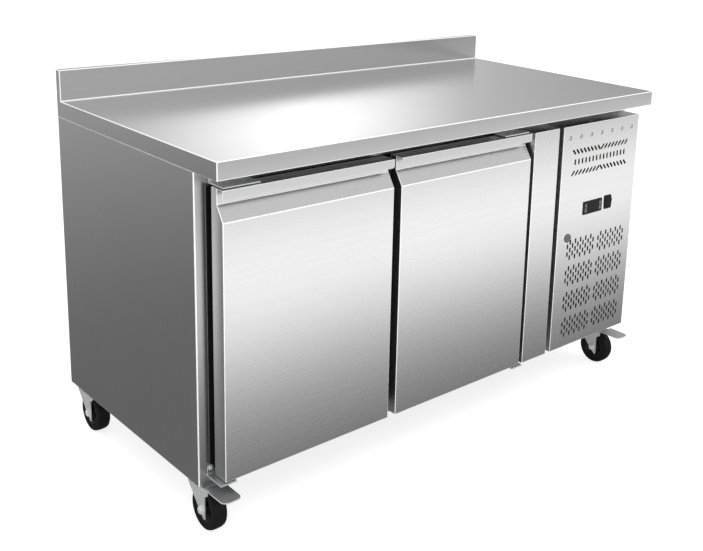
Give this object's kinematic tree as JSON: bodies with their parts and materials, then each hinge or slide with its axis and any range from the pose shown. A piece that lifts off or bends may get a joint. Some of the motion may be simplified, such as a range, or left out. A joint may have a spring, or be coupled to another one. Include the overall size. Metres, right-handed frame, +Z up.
{
  "type": "undercounter refrigerator",
  "caption": "Stainless steel undercounter refrigerator with hinged doors, rear upstand, side machine compartment and swivel castors.",
  "frame": {"origin": "on the floor under the middle of the worktop", "axes": "+X to the user's right, +Y to the back, +Z up; the doors face -Y"},
  "size_m": [1.36, 0.7, 0.893],
  "materials": {
    "stainless": "satin",
    "stainless_inner": "satin",
    "insulation_foam": "matte",
    "black_plastic": "matte",
    "grey_key": "matte",
    "grey_plastic": "matte",
    "white_plastic": "satin",
    "gasket_rubber": "matte",
    "zinc_plate": "satin",
    "coated_wire": "satin",
    "black_paint": "satin",
    "coil_aluminium": "satin",
    "tyre_rubber": "matte"
  },
  "bodies": {
    "cabinet": {"worktop": "stainless", "left_side_panel": "stainless", "right_side_panel": "stainless", "back_panel": "stainless", "base_pan": "stainless", "front_frame": "stainless", "filler_panel": "stainless", "grille_panel": "stainless", "unit_tray": "stainless", "cabinet_liner": "stainless_inner", "left_shelf_runner_a": "stainless_inner", "left_shelf_runner_b": "stainless_inner", "right_shelf_runner_a": "stainless_inner", "right_shelf_runner_b": "stainless_inner", "cabinet_insulation": "insulation_foam", "breaker_strip": "black_plastic", "thermostat_body": "black_plastic", "power_switch_body": "black_plastic", "evaporator_cover": "white_plastic", "left_upper_hinge": "zinc_plate", "left_lower_hinge": "zinc_plate", "right_upper_hinge": "zinc_plate", "right_lower_hinge": "zinc_plate", "left_shelf": "coated_wire", "right_shelf": "coated_wire", "compressor": "black_paint", "fan_shroud": "black_paint", "condenser_fan_motor": "black_paint", "evaporator_fan_motor": "black_paint", "condenser_coil": "coil_aluminium", "evaporator_coil": "coil_aluminium", "front_left_castor_plate": "zinc_plate", "front_right_castor_plate": "zinc_plate", "rear_left_castor_plate": "zinc_plate", "rear_right_castor_plate": "zinc_plate"},
    "left_door": {"left_door_skin": "stainless", "left_door_core": "insulation_foam", "left_door_inner": "white_plastic", "left_door_gasket": "gasket_rubber"},
    "right_door": {"right_door_skin": "stainless", "right_door_core": "insulation_foam", "right_door_inner": "white_plastic", "right_door_gasket": "gasket_rubber"},
    "thermostat_key_left": {"thermostat_key_left": "grey_key"},
    "thermostat_key_right": {"thermostat_key_right": "grey_key"},
    "power_rocker": {"power_rocker": "black_plastic"},
    "panel_lock": {"panel_lock": "grey_plastic"},
    "condenser_fan": {"condenser_fan_blade": "black_paint"},
    "evaporator_fan": {"evaporator_fan_blade": "black_paint"},
    "front_left_castor": {"front_left_castor_fork": "zinc_plate"},
    "front_left_wheel": {"front_left_castor_wheel": "tyre_rubber"},
    "front_left_pedal": {"front_left_brake_pedal": "zinc_plate"},
    "front_right_castor": {"front_right_castor_fork": "zinc_plate"},
    "front_right_wheel": {"front_right_castor_wheel": "tyre_rubber"},
    "front_right_pedal": {"front_right_brake_pedal": "zinc_plate"},
    "rear_left_castor": {"rear_left_castor_fork": "zinc_plate"},
    "rear_left_wheel": {"rear_left_castor_wheel": "tyre_rubber"},
    "rear_right_castor": {"rear_right_castor_fork": "zinc_plate"},
    "rear_right_wheel": {"rear_right_castor_wheel": "tyre_rubber"}
  },
  "joints": [
    {"name": "left_door_hinge", "type": "hinge", "parent": "cabinet", "child": "left_door", "pos_m": [-0.639, -0.306, 0.446], "axis": [0, 0, 1], "range_deg": [-100, 0]},
    {"name": "right_door_hinge", "type": "hinge", "parent": "cabinet", "child": "right_door", "pos_m": [0.211, -0.306, 0.446], "axis": [0, 0, 1], "range_deg": [0, 100]},
    {"name": "thermostat_key_left_press", "type": "slide", "parent": "cabinet", "child": "thermostat_key_left", "axis": [0, 1, 0], "range_m": [0, 0.001], "stiffness_N_per_m": 400},
    {"name": "thermostat_key_right_press", "type": "slide", "parent": "cabinet", "child": "thermostat_key_right", "axis": [0, 1, 0], "range_m": [0, 0.001], "stiffness_N_per_m": 400},
    {"name": "power_rocker_tilt", "type": "hinge", "parent": "cabinet", "child": "power_rocker", "pos_m": [0.552, -0.3225, 0.523], "axis": [1, 0, 0], "range_deg": [0, 12]},
    {"name": "panel_lock_turn", "type": "hinge", "parent": "cabinet", "child": "panel_lock", "pos_m": [0.39, -0.324, 0.45], "axis": [0, 1, 0], "range_deg": [0, 90]},
    {"name": "condenser_fan_spin", "type": "hinge", "parent": "cabinet", "child": "condenser_fan", "pos_m": [0.53, -0.132, 0.31], "axis": [0, 1, 0], "continuous": true},
    {"name": "evaporator_fan_spin", "type": "hinge", "parent": "cabinet", "child": "evaporator_fan", "pos_m": [0.227, 0.02, 0.6], "axis": [1, 0, 0], "continuous": true},
    {"name": "front_left_castor_swivel", "type": "hinge", "parent": "cabinet", "child": "front_left_castor", "pos_m": [-0.649, -0.218, 0.1222], "axis": [0, 0, 1], "continuous": true},
    {"name": "front_left_wheel_roll", "type": "hinge", "parent": "front_left_castor", "child": "front_left_wheel", "pos_m": [-0.649, -0.252, 0.048], "axis": [1, 0, 0], "continuous": true},
    {"name": "front_left_brake_press", "type": "hinge", "parent": "front_left_castor", "child": "front_left_pedal", "pos_m": [-0.649, -0.2705, 0.1004], "axis": [1, 0, 0], "range_deg": [0, 12]},
    {"name": "front_right_castor_swivel", "type": "hinge", "parent": "cabinet", "child": "front_right_castor", "pos_m": [0.649, -0.218, 0.1222], "axis": [0, 0, 1], "continuous": true},
    {"name": "front_right_wheel_roll", "type": "hinge", "parent": "front_right_castor", "child": "front_right_wheel", "pos_m": [0.649, -0.252, 0.048], "axis": [1, 0, 0], "continuous": true},
    {"name": "front_right_brake_press", "type": "hinge", "parent": "front_right_castor", "child": "front_right_pedal", "pos_m": [0.649, -0.2705, 0.1004], "axis": [1, 0, 0], "range_deg": [0, 12]},
    {"name": "rear_left_castor_swivel", "type": "hinge", "parent": "cabinet", "child": "rear_left_castor", "pos_m": [-0.649, 0.316, 0.1222], "axis": [0, 0, 1], "continuous": true},
    {"name": "rear_left_wheel_roll", "type": "hinge", "parent": "rear_left_castor", "child": "rear_left_wheel", "pos_m": [-0.649, 0.282, 0.048], "axis": [1, 0, 0], "continuous": true},
    {"name": "rear_right_castor_swivel", "type": "hinge", "parent": "cabinet", "child": "rear_right_castor", "pos_m": [0.649, 0.316, 0.1222], "axis": [0, 0, 1], "continuous": true},
    {"name": "rear_right_wheel_roll", "type": "hinge", "parent": "rear_right_castor", "child": "rear_right_wheel", "pos_m": [0.649, 0.282, 0.048], "axis": [1, 0, 0], "continuous": true}
  ]
}
